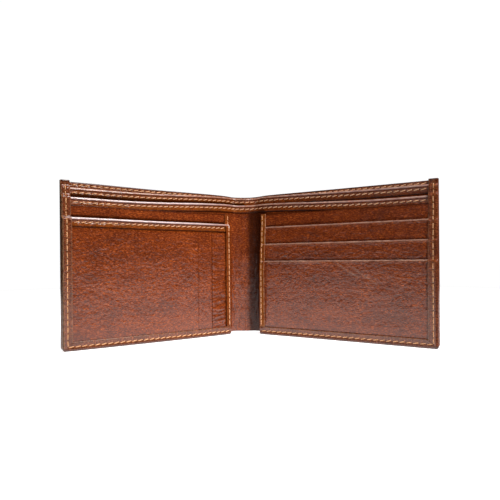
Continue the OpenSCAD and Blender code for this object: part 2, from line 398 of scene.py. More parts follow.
def hem(s, z, top, start=-20):
    """The relief of the turned band: its seam, and a ridge where it ends."""
    band = hem_band(z, top, 0.15)
    roll = 0.09 * bell(z - (top - 1.3), 0.9) + 0.04 * bell(z - (top - HEM_HEIGHT + 0.9), 0.7)
    under = -0.05 * bell(z - (top - HEM_HEIGHT - 0.45), 0.4)
    seamed = seam_along(s, z, top - HEM_SEAM, start, OUTER - STRIP)
    return 0.2 * band + roll + under + seamed


def hem_paint(top, behind_top=None, pale=0.0, shade=None, gold=0.6, behind=0.95):
    """Colours of a hemmed layer: a lighter upper edge, partly worn and partly a painted highlight,
    a painted highlight line just under it, a golden seam band, and painted shade under the ridge
    where the hem ends.

    behind_top is the height of the edge in front, above which the layer gets painted shade.
    """
    seam = top - HEM_SEAM

    def paint(s, z):
        # Painted shade under the ridge where the hem ends and above the edge in front; also darker
        # bands 1.4 mm under the edge, along the seam and at the layer's end.
        dark = [0.95 * bell(z - (top - HEM_HEIGHT - 0.05), 0.55),
                0.8 * bell(z - (top - 1.4), 0.4),
                (0.1 + 0.5 * (0.6 - gold)) * bell(z - seam, 0.9),
                bell(LAYER_END - s, 1.6)]
        if behind_top is not None:
            dark.append(behind * (1 - ease(z, behind_top + 1.0, behind_top + 2.3)))
        dull = dark + [bell(z - (top - HEM_HEIGHT - 0.35), 1.1)]
        if shade is not None:
            dark.append(shade(s, z))
            dull.append(0.65 * shade(s, z))
        return {
            # Lighter upper edge: partly worn leather and partly a painted highlight.
            "wear": bell(top - z, 0.75),
            # A painted highlight line just under the edge, fading towards the spine.
            "pale": pale * bell(top - 0.45 - z, 0.5) * (0.35 + 0.65 * ease(s, 12, 45)),
            "gold": gold * bell(z - seam + 0.5, 1.6),
            "burnish": np.maximum.reduce(dark),
            "matt": np.maximum.reduce(dull),
        }
    return paint


# ---- materials


class Shader:
    """A node tree, with short names for the nodes that the recipes share."""

    def __init__(self, owner):
        owner.use_nodes = True
        self.tree = owner.node_tree
        self.tree.nodes.clear()

    def feed(self, socket, value):
        if isinstance(value, bpy.types.NodeSocket):
            self.tree.links.new(value, socket)
        elif value is not None:
            socket.default_value = value

    def add(self, kind, *values, **settings):
        """A node with its settings, and then values or links for its first sockets."""
        node = self.tree.nodes.new("ShaderNode" + kind)
        for key, value in settings.items():
            if key in node.inputs:
                self.feed(node.inputs[key], value)
            else:
                setattr(node, key, value)
        for socket, value in zip(node.inputs, values):
            self.feed(socket, value)
        return node

    def maths(self, operation, first, second=None):
        return self.add("Math", first, second, operation=operation).outputs[0]

    def mix(self, share, first, second, blend="MIX"):
        node = self.add("Mix", data_type="RGBA", blend_type=blend, clamp_factor=True)
        for index, value in ((0, share), (6, first), (7, second)):
            self.feed(node.inputs[index], value)
        return node.outputs[2]

    def ramp(self, source, *stops):
        node = self.add("ValToRGB", source)
        elements = node.color_ramp.elements
        while len(elements) < len(stops):
            elements.new(0.5)
        for element, (position, colour) in zip(elements, stops):
            element.position = position
            element.color = colour if isinstance(colour, tuple) else (colour,) * 3 + (1,)
        return node.outputs[0]

    def flat(self, stretch=(1, 1), turn=0.0):
        """The flat pattern in millimetres, stretched and turned for one texture."""
        source = self.add("UVMap", uv_map="flat").outputs[0]
        return self.add("Mapping", Vector=source, Scale=(MM * stretch[0], MM * stretch[1], 1),
                        Rotation=(0, 0, turn)).outputs[0]

    def noise(self, scale, stretch=(1, 1), detail=2.0, turn=0.0, rough=0.55, distortion=0.0):
        return self.add("TexNoise", noise_dimensions="2D", Vector=self.flat(stretch, turn),
                        Scale=scale, Detail=detail, Roughness=rough, Distortion=distortion)

    def attribute(self, name):
        return self.add("Attribute", attribute_name=name).outputs["Fac"]

    def bump(self, height, strength, distance):
        """distance is in millimetres."""
        return self.add("Bump", Height=height, Strength=strength,
                        Distance=distance / MM).outputs[0]

    def surface(self, base, **settings):
        """Ends the recipe in a Principled surface of the base colour."""
        surface = self.add("BsdfPrincipled", **settings)
        self.feed(surface.inputs["Base Color"], base)
        self.add("OutputMaterial", surface.outputs[0])


def new_material(name):
    material = bpy.data.materials.new(name)
    return material, Shader(material)


def darker(colour, share):
    return tuple(share * channel for channel in colour[:3]) + (1,)


def leather(name, light, middle, dark, tan):
    """Glossy, finely creased cowhide, with lighter edges that are partly worn and partly painted
    highlight, painted highlight lines, and dark burnished edges that are partly painted shade.
    """
    material, nodes = new_material(name)
    shift = nodes.noise(0.7, detail=3.0, rough=0.5).outputs[1]
    shifted = nodes.add("VectorMath", shift, (1.5, 1.2, 0), nodes.flat((0.6, 1.05)),
                        operation="MULTIPLY_ADD").outputs[0]
    cells = nodes.add("TexVoronoi", voronoi_dimensions="2D", feature="DISTANCE_TO_EDGE",
                      Vector=shifted, Scale=0.85, Randomness=1.0).outputs["Distance"]
    pebbles = nodes.ramp(cells, (0.0, 0.0), (0.18, 0.5), (0.5, 1.0))
    wrinkle = nodes.noise(0.95, (0.45, 1.1), 2, 0.05, 0.5, 0.6).outputs[0]
    ridge = nodes.maths("ABSOLUTE", nodes.maths("SUBTRACT", wrinkle, 0.5))
    folds = nodes.ramp(ridge, (0.0, 1.0), (0.05, 0.35), (0.12, 0.0))
    grit = nodes.noise(1.25, (0.45, 1.05), 1, 0.0, 0.5, 0.4).outputs[0]
    pores = nodes.noise(4.0).outputs[0]

    mottle = nodes.noise(0.06, (1, 1.6), 5).outputs[0]
    colour = nodes.ramp(mottle, (0.25, dark), (0.5, middle), (0.75, light))
    # The grain's colour: darker between the pebbles, with bright whitish specks (grit) and a light
    # net of lines (folds) that stand in for glints on the crease edges, so partly grain and partly
    # painted highlight.
    for share, pattern, *shades in (
            (0.85, pebbles, (0.0, (0.52, 0.44, 0.42, 1)), (0.4, (0.92, 0.9, 0.88, 1)),
             (0.95, (1.3, 1.3, 1.25, 1))),
            (0.65, grit, (0.36, (0.72, 0.66, 0.62, 1)), (0.52, (0.9, 0.86, 0.84, 1)),
             (0.68, (1.5, 1.62, 1.7, 1))),
            (0.95, folds, (0.0, (0.88, 0.83, 0.78, 1)), (1.0, (1.55, 1.65, 1.7, 1)))):
        colour = nodes.mix(share, colour, nodes.ramp(pattern, *shades), "MULTIPLY")
    patch = nodes.ramp(nodes.noise(0.5, (0.5, 1)).outputs[0], (0.35, 0.35), (0.6, 1.0))
    # The seam bands' golden tone, and the tan of edges that are partly worn and partly painted
    # highlight.
    for paint, tint in (("gold", GOLD), ("wear", tan)):
        colour = nodes.mix(nodes.maths("MULTIPLY", nodes.attribute(paint), patch), colour, tint)
    # Mixes in the painted highlight colour, and a dark colour that is partly burnished edges and
    # partly painted shade.
    for paint, tint in (("pale", HIGHLIGHT_TINT), ("burnish", darker(dark, 0.15))):
        colour = nodes.mix(nodes.attribute(paint), colour, tint)

    height = nodes.maths("MULTIPLY", pebbles, 0.14)
    for pattern, amount in ((folds, 0.06), (grit, 0.22), (pores, 0.012)):
        height = nodes.maths("ADD", height, nodes.maths("MULTIPLY", pattern, amount))
    hollows = nodes.maths("MULTIPLY", nodes.maths("SUBTRACT", 1.0, pebbles), 0.2)
    matt = nodes.attribute("matt")
    nodes.surface(colour, **{
        "Roughness": nodes.maths("ADD", 0.5, hollows),
        "Normal": nodes.bump(height, 1.0, 1.3),
        "Coat Weight": nodes.ramp(matt, (0.0, 0.75), (1.0, 0.0)),
        "Specular IOR Level": nodes.ramp(matt, (0.0, 0.05), (1.0, 0.0)),
        "Coat IOR": 1.6,
        "Coat Roughness": 0.13,
        "Coat Normal": nodes.bump(height, 0.15, 1.0),
    })
    return material


def woven(name, colour, shade, pitch=0.45):
    """Lining cloth in a diagonal twill."""
    material, nodes = new_material(name)
    ribs, yarn = (
        nodes.add("TexWave", wave_type="BANDS", bands_direction=direction, Detail=1.0,
                  Scale=1 / pitch / rows, Distortion=waver,
                  Vector=nodes.flat(turn=turn)).outputs["Fac"]
        for direction, rows, waver, turn in (("X", 3, 0.6, 0.8), ("Y", 2, 0.4, 0.0)))
    weave = nodes.maths("MULTIPLY", ribs, yarn)
    base = nodes.ramp(weave, (0.0, shade), (0.8, colour))
    fuzz = nodes.noise(0.2, detail=5.0, rough=0.5).outputs[0]
    base = nodes.mix(0.4, base, nodes.ramp(fuzz, (0.3, 0.7), (0.7, 1.2)), "MULTIPLY")
    nodes.surface(base, Roughness=0.85, Normal=nodes.bump(weave, 1.0, 0.08),
                  **{"Sheen Weight": 0.3})
    return material


def waxed_thread(name, light, dark):
    """Waxed thread: fine fibres along it, and darker where it dips into the leather."""
    material, nodes = new_material(name)
    fibres = nodes.noise(2.5, (0.6, 3.0), 3.0, rough=0.5).outputs[0]
    base = nodes.ramp(fibres, (0.3, dark), (0.65, light))
    base = nodes.mix(nodes.attribute("dip"), base, darker(dark, 0.5))
    nodes.surface(base, Roughness=0.42, Normal=nodes.bump(fibres, 0.6, 0.05),
                  **{"Sheen Weight": 0.15})
    return material


def board(name, colour):
    """Grey-brown cardboard with short fibres."""
    material, nodes = new_material(name)
    fibres = nodes.noise(1.4, (0.5, 2.0), 6.0, 0.4, 0.5).outputs[0]
    base = nodes.mix(0.6, colour, nodes.ramp(fibres, (0.3, 0.75), (0.7, 1.15)), "MULTIPLY")
    nodes.surface(base, Roughness=0.9, Normal=nodes.bump(fibres, 0.5, 0.04))
    return material


GOLD = (0.37, 0.108, 0.012, 1)
# The pinkish white of the painted highlight lines on the upper edges.
HIGHLIGHT_TINT = (0.85, 0.66, 0.66, 1)
OUTER_LEATHER = leather(
    "outer_leather", (0.24, 0.06, 0.02, 1), (0.19, 0.046, 0.017, 1),
    (0.13, 0.03, 0.013, 1), (0.5, 0.26, 0.13, 1))
INNER_LEATHER = leather(
    "inner_leather", (0.285, 0.054, 0.008, 1), (0.23, 0.041, 0.006, 1),
    (0.16, 0.029, 0.005, 1), (0.62, 0.34, 0.22, 1))
CLOTH = woven("lining_cloth", (0.17, 0.09, 0.05, 1), (0.06, 0.03, 0.02, 1))
THREAD = waxed_thread("thread", (1.0, 0.53, 0.26, 1), (0.74, 0.32, 0.12, 1))
CARDBOARD = board("cardboard", (0.45, 0.36, 0.25, 1))

# ---- attaching pieces to a half, and hiding the CAD nodes that pieces replace


def attach(piece, side, slot, *nodes):
    """A piece that lies wholly on one half."""
    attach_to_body(piece, BODY[side])
    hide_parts(*nodes)


def attach_bent(piece, side, slot, depth, *nodes):
    """A piece that runs over a fold line, from the spine to one half. It is attached to neither
    half: its CAD nodes are hidden and its transform is baked.
    """
    start, end = (tuple(place(side, HINGE_X + reach, depth, 0.0))
                  for reach in (-BEND_REACH, BEND_REACH))
    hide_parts(*nodes)
    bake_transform(piece)


# ---- edges and their depth


STACKED = {
    LEFT: ("bill_divider_left", "inner_panel_left", "left_pocket"),
    RIGHT: ("bill_divider_right", "inner_panel_right", "card_slot_top", "card_slot_middle",
            "card_slot_bottom"),
}


def pile(side, z, lowest, spread=1.6):
    """Depth of the layers' front at a height, from the lowest depth that is asked for."""
    depth = np.full(np.shape(z), float(lowest))
    for node in STACKED[side]:
        face = HIGH[node][1]
        if face > lowest:
            below = ease(HIGH[node][2] + 0.3 * spread - z, 0, spread)
            depth = depth + (face - depth) * below
    return depth


def strip_front(side, s, z):
    """Front depth of the turned strip, before its seam's hollow."""
    top = pile(side, z, HEM) + 0.1 + STRIP_LEATHER
    inner_end = ease(s - STACK, -0.4, 1.6)
    on_base = ease(STRIP + 4 - z, 0, 4)
    return top * (1 - 0.06 * on_base * (1 - inner_end))


def strip_relief(s, z):
    """Hollows and ridges of the strip: its seam, its soft edges and its mitred corner."""
    from_side, from_base = OUTER - s, z
    across = np.minimum(from_side, from_base)
    pillow = 0.06 * bell(across - 1.3, 0.5) + 0.08 * bell(across - 3.6, 0.8)
    corner = bell((from_side - from_base) / math.sqrt(2), 0.32) * ease(across, 0.6, 1.6)
    top, start, end = HEIGHT - EDGE_SEAM, STACK + INNER_SEAM, OUTER - EDGE_SEAM
    hollow = seam_up(s, z, end, EDGE_SEAM, top) * ease(from_base - from_side, -0.2, 0.2)
    hollow += seam_along(s, z, EDGE_SEAM, start, end) * ease(from_side - from_base, -0.2, 0.2)
    return pillow - 0.22 * corner * (across < STRIP + 0.2) + hollow


CORNER = 1.3
CORNER_REACH = 9.0
STRIP_ROUND = 0.7
QUARTER = np.linspace(0, math.pi / 2, 7)
WALL_SHARES = np.array([0.25, 0.5, 0.75])


def edge_steps():
    """Steps along the turned edge: the base, the corner and the outer side."""
    base = lines(STACK, OUTER - CORNER, 0.45, edge=0.5)[:-5]
    bend = np.linspace(0, 1, 9)[1:-1]
    rising = lines(CORNER, HEIGHT, 0.45, edge=0.5)[5:]
    return [(kind, value) for kind, values in (
        ("base", base), ("corner", bend), ("side", rising)) for value in values]


def edge_position(kind, value, inset):
    """Flat (s, z) of points inset from the outer edge, at one step along it."""
    radius = np.maximum(CORNER - inset, 0.12)
    run_end, climb_start = OUTER - inset - radius, inset + radius
    if kind == "corner":
        angle = value * math.pi / 2
        return run_end + radius * math.sin(angle), climb_start - radius * math.cos(angle)
    if kind == "base":
        share = ease(value, OUTER - CORNER - CORNER_REACH, OUTER - CORNER)
        return value + share * (run_end - (OUTER - CORNER)), inset
    share = ease(CORNER_REACH + CORNER - value, 0, CORNER_REACH)
    return OUTER - inset, value + share * (climb_start - CORNER)


def edge_profile(depth, soft):
    """The turned edge's two skins, each as insets and depths, from the back to the front."""
    run = np.concatenate([
        np.linspace(EDGE_ROUND, EDGE_SEAM - 0.7, 5)[1:],
        np.linspace(EDGE_SEAM - 0.5, EDGE_SEAM + 0.5, 7),
        np.linspace(EDGE_SEAM + 0.7, STRIP - STRIP_ROUND, 6),
        STRIP - STRIP_ROUND * np.array(ROUNDING[::-1])[1:]])
    under = depth - STRIP_LEATHER
    outer = (
        [[EDGE_ROUND + 0.9, EDGE_ROUND + 0.3], EDGE_ROUND * (1 - np.sin(QUARTER)),
         np.zeros(3), soft * (1 - np.cos(QUARTER)), run],
        [[-SHELL + 0.45, -SHELL + 0.03], -SHELL * np.cos(QUARTER),
         (depth - soft) * WALL_SHARES, depth - soft + soft * np.sin(QUARTER),
         0 * run + depth])
    inner = (
        [[EDGE_ROUND + 0.9, EDGE_ROUND + 0.6], np.full(10, EDGE_ROUND),
         EDGE_ROUND + 0.02 * np.arange(7), run],
        [[-SHELL + 0.7, -SHELL + 0.8], np.linspace(-SHELL + 0.9, 0.0, 7),
         under * WALL_SHARES, np.linspace(0.8, 1.0, 7) * under, 0 * run + under])
    return [[np.concatenate(parts) for parts in skin] for skin in (outer, inner)]


def edge_paint(side, kind, value, inset, depth, on_front):
    """Colours round the turned edge: the strip's free edge lighter, partly worn and partly a
    painted highlight; the left half's outer wall painted lighter, as painted light; darker where
    it rolls, partly burnished and partly painted shade.
    """
    rising = kind == "side"
    to_free = STRIP - inset
    wall = (inset < 0.6) * rising * (depth > -SHELL * 0.5)
    # Darker rolls and the top end of the side strip: partly burnished, partly painted shade.
    low_roll = 0.55 * bell(inset, 1.5) * (not rising)
    back_roll = 0.7 * bell(depth + SHELL * 0.8, 0.4) * (kind != "base")
    rolls = np.maximum(low_roll, back_roll) * (np.arange(len(inset)) > 2)
    return {
        # The free edge is lighter, partly worn and partly a painted highlight; the left half's
        # outer wall alone is painted lighter, as light that no lamp gives it.
        "wear": np.where(on_front, bell(to_free, 0.5) * 0.4, 0.0) + 0.55 * wall * (side == LEFT),
        "gold": np.where(on_front, 0.35 * bell(inset - EDGE_SEAM, 0.9), 0.0),
        "matt": 0.8 * (inset < (0.5 if side == LEFT else 1.4)) * rising,
        "burnish": np.maximum(rolls, 0.7 * bell(HEIGHT - value, 1.1) * rising),
    }


def turned_edge(side):
    """The shell's edge, turned round the layers along the base and up the outer side."""
    skins, flat, paint = [], [], []
    for kind, value in edge_steps():
        s, z = edge_position(kind, value, np.array([2.5]))
        depth = float(strip_front(side, s, 0.0 if kind == "base" else z)[0])
        soft = min(EDGE_ROUND, depth * 0.8)
        (outer_a, outer_d), (inner_a, inner_d) = edge_profile(depth, soft)
        on_front = (outer_a >= soft - 1e-9) & (np.arange(len(outer_a)) > 8)
        end_gap = {"base": value - STACK, "corner": CORNER_REACH, "side": HEIGHT - value}[kind]
        fullness = rounding(end_gap, 0.5) * np.where(
            on_front, rounding(STRIP - outer_a, STRIP_ROUND), 1.0)
        s_out, z_out = np.broadcast_arrays(*edge_position(kind, value, outer_a))
        s_in, z_in = np.broadcast_arrays(*edge_position(kind, value, inner_a))
        outer_d = outer_d + np.where(on_front, strip_relief(s_out, z_out), 0.0)
        skins.append(folded(side, (s_out, outer_d, z_out), (s_in, inner_d, z_in), fullness))
        along = value if kind == "base" else OUTER + (value if kind == "side" else 1.0)
        flat.append(np.stack([unrolled(outer_a, outer_d), np.full(len(outer_a), along)], -1))
        paint.append(edge_paint(side, kind, value, outer_a, outer_d, on_front))
    name = sided("turned_edge", side)
    front, back = (np.array([pair[face] for pair in skins]) for face in (0, 1))
    flat = np.array(flat)
    piece = leaf(name, front, back, flat_map(name, flat[..., 0], flat[..., 1]),
                 {key: np.array([step[key] for step in paint]) for key in paint[0]},
                 OUTER_LEATHER)
    attach(piece, side, "outer_leather", sided("outer_shell", side))


# ---- pieces that cross the spine


def shell(side):
    """The outer shell, from the middle of the spine to where its edge turns."""
    end = OUTER - EDGE_ROUND
    seam = SHELL_TOP - SHELL_SEAM

    def front(s, z):
        return HEM * hem_band(z, SHELL_TOP) + seam_along(s, z, seam, -20, OUTER - STRIP)

    def back(s, z):
        free = ease(end - s, 0.5, 4) * ease(z, 1.5, 5)
        return -SHELL - free * (creases(s, z, 5) + 0.05) - 0.05 * bell(SHELL_TOP - 1.6 - z, 0.8)

    s_lines = lines(0, end, 0.7, (HINGE_X, 7, 0.4), edge=0.02, cut=True)
    z_lines = lines(0, SHELL_TOP, 0.7, (seam, 1.0, 0.22), edge=0.6)
    piece = sheet(sided("shell", side), side, s_lines, z_lines, front, back,
                  OUTER_LEATHER, cut=True,
                  base=lambda s: SPINE_RISE * ease(STACK + 1.5 - s, 0, 3),
                  paint=lambda s, z: {"burnish": 0.9 * bell(SHELL_TOP - z, 0.6),
                                      "gold": 0.4 * bell(z - seam, 0.9)})
    attach_bent(piece, side, "outer_leather", 0.0,
                sided("outer_shell", side), "outer_shell_spine")


def waving(node, wave, cell, seed):
    """Front and back of a hidden cloth or board, which waves slightly."""
    return [lambda s, z, level=level: level + wave * noise(s, z, cell, cell, seed)
            for level in (HIGH[node][1], LOW[node][1])]


def lining(side, kind):
    """A lining cloth glued behind a leather layer."""
    spine_node, half_node = kind + "_spine", sided(kind, side)
    high = HIGH[half_node]
    s_lines = lines(0, high[0], 2.0, (HINGE_X, 7, 0.6), edge=0.1, cut=True)
    z_lines = lines(LOW[spine_node][2], high[2], 2.5, edge=0.1)
    piece = sheet(half_node, side, s_lines, z_lines, *waving(half_node, 0.03, 9, 31), CLOTH,
                  cut=True)
    attach_bent(piece, side, "lining_cloth", high[1], half_node, spine_node)


def painted_fold_shadow(s, z):
    """Painted shadow: the colour is darkened in the hollow beside the card slots, where their step
    would cast its shadow on the spine.
    """
    return 0.86 * ease(s, -0.3, 4.3) * (1 - ease(s, STACK + 2, STACK + 4)) * (z < HEIGHT - 12)


def crossing_layer(side, kind, seed, leather_lines, edge_in_front=None, pale=0.1):
    """The bill divider or the inner panel: a hemmed layer that runs over the spine."""
    half_node, spine_node = sided(kind, side), kind + "_spine"
    face, top = HIGH[half_node][1:]

    def front(s, z):
        upright = 0.14 * noise(s, z, 1.1, 7.0, seed + 5) + 0.06 * noise(s, z, 0.7, 4.0, seed + 6)
        upright = upright * (1 - ease(s, STACK - 1, STACK + 1)) * (z < top - HEM_HEIGHT - 0.5)
        relief = np.minimum(creases(s, z, seed) + upright, 0.16)
        return face - 0.26 + hem(s, z, top) + relief

    def back(s, z):
        return face - LEATHER - 0.25 * hem_band(z, top)

    s_lines = lines(0, LAYER_END, 0.6, (HINGE_X, 7, 0.35), edge=0.35, cut=True)
    z_lines = hem_lines(LOW[spine_node][2], top, 2.2, *leather_lines(top))
    # The left half gets a stronger painted highlight and darker painted shade above the edge in
    # front; the right half gets the painted fold shadow.
    piece = sheet(sided(kind + "_leather", side), side, s_lines, z_lines, front, back,
                  INNER_LEATHER, cut=True, roll=0.95,
                  paint=hem_paint(top, edge_in_front, pale if side == LEFT else 0.25,
                                  painted_fold_shadow if side == RIGHT else None,
                                  0.6 if side == LEFT else 0.3,
                                  0.95 if side == LEFT else 0.35),
                  top=lambda s: edge_rise(kind, side, s))
    attach_bent(piece, side, "inner_leather", face, half_node, spine_node)


# ---- pockets and card slots


def plain_liner(side, node, material, slot):
    """A hidden cloth or board, square to its neighbours."""
    low, high = LOW[node], HIGH[node]
    s_lines = lines(low[0], high[0], 3.0, edge=0.1)
    z_lines = lines(low[2], high[2], 3.0, edge=0.1)
    piece = sheet(node + "_piece", side, s_lines, z_lines, *waving(node, 0.02, 8, 47),
                  material)
    attach(piece, side, slot, node)
    return piece


def left_pocket():
    """The left pocket's leather, puckered beside its board and smooth over it."""
    low, high = LOW["left_pocket"], HIGH["left_pocket"]
    face, top = high[1:]
    board_edge = LOW["pocket_stiffener"][0]
    strip_end = STACK + INNER_STRIP

    def pucker(s, z):
        slant = z + 0.16 * (s - low[0])
        return noise(slant, s, 0.8, 7, 71), noise(slant, s, 0.5, 4, 72)

    def loose(s):
        return ease(s, strip_end - 1, strip_end + 0.6) * ease(board_edge - s, 0.2, 1.2)

    def front(s, z):
        under_hem = ease(top - HEM_HEIGHT - z, -0.3, 0.6)
        broad, fine = pucker(s, z)
        raised = under_hem * (0.3 * ease(s, board_edge - 0.2, board_edge + 0.2)
                              + 0.1 * ease(s, board_edge + 9.6, board_edge + 10.1))
        return (face - 0.44 + hem(s, z, top, strip_end) + raised
                + np.minimum(loose(s) * under_hem * (0.34 * broad + 0.12 * fine)
                             + creases(s, z, 61), 0.3))

    # Painted shade: dark lines along the board's edges and in the hollows of the pucker.
    def painted_board_shade(s, z):
        below = z < top - HEM_HEIGHT - 0.6
        hollows = 0.22 * loose(s) * ease(-pucker(s, z)[0], 0.1, 0.5)
        edges = 0.7 * bell(s - board_edge + 0.2, 0.35) + 0.45 * bell(s - board_edge - 9.8, 0.3)
        return below * np.maximum(edges, hollows)

    def back(s, z):
        return face - LEATHER - GAP - 0.2 * hem_band(z, top)

    s_lines = lines(low[0], high[0], 0.5, (board_edge, 0.8, 0.2), edge=0.4)
    piece = sheet("left_pocket_leather", LEFT, s_lines, hem_lines(low[2], top, 0.5), front,
                  back, INNER_LEATHER, roll=0.95, paint=hem_paint(top, pale=1.0, shade=painted_board_shade))
    attach(piece, LEFT, "inner_leather", "left_pocket")


SCRATCHES = (((64.0, 44.6), (76.0, 37.0)), ((69.5, 44.6), (86.0, 33.5)))


def line_distance(s, z, start, end):
    """Distance of flat points from a straight scratch."""
    along = np.subtract(end, start)
    out, up = s - start[0], z - start[1]
    share = np.clip((out * along[0] + up * along[1]) / (along @ along), 0, 1)
    return np.hypot(out - share * along[0], up - share * along[1])


def card_slot(node, seed, covered, scratches=()):
    """One card slot with a plain folded edge, lighter along its top, partly worn and partly a
    painted highlight, and lighter along any scratches.

    covered is the height of what lies in front of it.
    """
    low, high = LOW[node], HIGH[node]
    face, top = high[1:]

    def front(s, z):
        lip = 0.08 * bell(top - 0.8 - z, 0.6)
        return face - 0.12 + lip + np.minimum(creases(s, z, seed), 0.1)

    def back(s, z):
        return low[1] + 0.04 * noise(s, z, 9, 6, seed)

    def paint(s, z):
        # Painted shade just above the slot in front of this one.
        shade = 0.75 * (1 - ease(z, covered + 0.3, covered + 1.2)) * (covered > STRIP)
        dark = np.maximum(bell(LAYER_END - s, 1.6), shade)
        # Lighter top edge, partly worn and partly a painted highlight, with a thin painted
        # highlight line, and lighter scratches.
        edge_highlight_and_scratches = 0.8 * bell(top - z, 0.6)
        for start, end in scratches:
            edge_highlight_and_scratches = np.maximum(edge_highlight_and_scratches, 0.5 * bell(line_distance(s, z, start, end), 0.3))
        return {"wear": edge_highlight_and_scratches, "burnish": dark, "pale": 0.15 * bell(top - 0.3 - z, 0.32),
                "gold": 0.5 * bell(top - z, 0.9),
                "matt": np.maximum(dark, bell(top - z, 0.8))}

    s_lines = lines(low[0], high[0], 0.55, edge=0.35)
    piece = sheet(node + "_leather", RIGHT, s_lines, fine_above(covered, low[2], top, 0.35),
                  front, back, INNER_LEATHER, paint=paint)
    attach(piece, RIGHT, "inner_leather", node)


# ---- base panels


def inner_strip_front(side, z):
    """Front depth of a base panel's turned edge, which bridges the steps of the pockets."""
    spread = 3.5 if side == LEFT else 9.0
    return pile(side, z, BASE_FACE, spread) + 0.1 + BASE_LEATHER


def base_panel(side, node):
    """The panel that the pockets are sewn to, with painted shade just above the topmost of them.
    """
    low, high = LOW[node], HIGH[node]
    covered = HIGH[STACKED[side][2]][2]

    def front(s, z):
        return BASE_FACE - 0.1 + np.minimum(creases(s, z, 91 + side), 0.1)

    def paint(s, z):
        # Painted shade just over the topmost pocket, stronger on the left half.
        above = (0.9 if side == LEFT else 0.5) * (1 - ease(z, covered + 0.9, covered + 2.1))
        return {"burnish": np.maximum.reduce(
            [0.8 * bell(high[2] - z, 0.8), bell(LAYER_END - s, 1.6), above])}

    s_lines = lines(low[0] + 0.4, high[0], 0.6, edge=0.3)
    z_lines = fine_above(covered, low[2], high[2], 0.3)
    piece = sheet(sided("base_panel", side), side, s_lines, z_lines, front,
                  lambda s, z: low[1] + 0 * s, INNER_LEATHER, paint=paint)
    attach(piece, side, "inner_leather", node)


def inner_profile(back, depth):
    """The inner turn's two skins, each as insets and depths, at every height."""
    run = np.concatenate([np.linspace(BASE_LEATHER, INNER_STRIP - 0.3, 22)[1:],
                          INNER_STRIP - 0.3 * np.array(ROUNDING[::-1])[1:]])
    corner = BASE_LEATHER
    under = depth - BASE_LEATHER
    outer_a = [[0.9, 0.5], corner * (1 - np.sin(QUARTER)), np.zeros(3),
               corner * (1 - np.cos(QUARTER)), run]
    inner_a = [[0.9, 0.75], np.full(10, corner), corner + 0.01 * np.arange(7), run]
    outer_d = [
        np.array([back + 0.02, back]), back + corner * (1 - np.cos(QUARTER)),
        back + corner + (depth - back - 2 * corner) * WALL_SHARES,
        depth - corner + corner * np.sin(QUARTER), depth + 0 * run]
    inner_d = [
        np.array([back + 0.3, back + 0.4]), np.linspace(back + 0.45, BASE_FACE, 7),
        BASE_FACE + (under - BASE_FACE) * np.array([0.2, 0.45, 0.7]),
        BASE_FACE + (under - BASE_FACE) * np.linspace(0.75, 1.0, 7), under + 0 * run]
    skins = ((outer_a, outer_d), (inner_a, inner_d))
    return [(np.concatenate(insets), np.concatenate([part + 0 * depth for part in depths], 1))
            for insets, depths in skins]


def inner_turn(side, node):
    """The base panel's inner edge, turned over the ends of the pockets."""
    top = HIGH[node][2]
    z = lines(STRIP + 0.1, top, 0.45, edge=0.3)[:, None]
    (outer_a, outer_d), (inner_a, inner_d) = inner_profile(
        LOW[node][1], inner_strip_front(side, z))
    on_front = np.arange(outer_a.size) >= 12 + 6
    s_out, s_in = STACK + outer_a[None, :], STACK + inner_a[None, :]
    relief = 0.06 * bell(outer_a - 0.9, 0.5) + 0.05 * bell(outer_a - 3.2, 0.5)
    relief = relief + seam_up(s_out, z, STACK + INNER_SEAM, STRIP + 1, top - 1)
    relief = relief + 0.5 * creases(s_out, z, 95 + side)
    outer_d = outer_d + np.where(on_front, relief, 0.0)
    to_free = INNER_STRIP - outer_a
    fullness = np.where(on_front, rounding(to_free, 0.3), 1.0) * rounding(
        np.minimum(z - z[0], z[-1] - z), 0.3)
    front, back = folded(side, (s_out, outer_d, z), (s_in, inner_d, z), fullness)
    along = unrolled(outer_a, outer_d[0])
    name = sided("inner_turn", side)
    # On the left, a painted shadow line beside the free edge; on the right, the free edge painted
    # lighter, partly worn and partly a painted highlight.
    wear, gold, burnish = (0.1, 0.27, 0.7) if side == LEFT else (0.6, 0.855, 0.0)
    piece = leaf(
        name, front, back, flat_map(name, along + 0 * z, z + 0 * along), {
            "wear": np.where(on_front, wear * bell(to_free, 0.4), 0.0),
            "gold": np.where(on_front, gold, 0.0),
            "burnish": np.where(on_front, burnish * bell(to_free, 0.35), 0.5),
            "matt": np.where(on_front, 0.9 * bell(to_free, 0.6), 0.8),
        }, INNER_LEATHER)
    attach(piece, side, "inner_leather", node)


# ---- seams

THREAD_RADIUS = 0.25


def seam_points(start, end):
    """Middles of the stitches of a straight seam between two flat points, and its heading."""
    start, end = np.array(start, float), np.array(end, float)
    length = np.linalg.norm(end - start)
    count = round(length / STITCH)
    shares = (np.arange(count) + 0.5) / count
    heading = (end - start) / length
    return [(start + share * (end - start), heading, length / count) for share in shares]


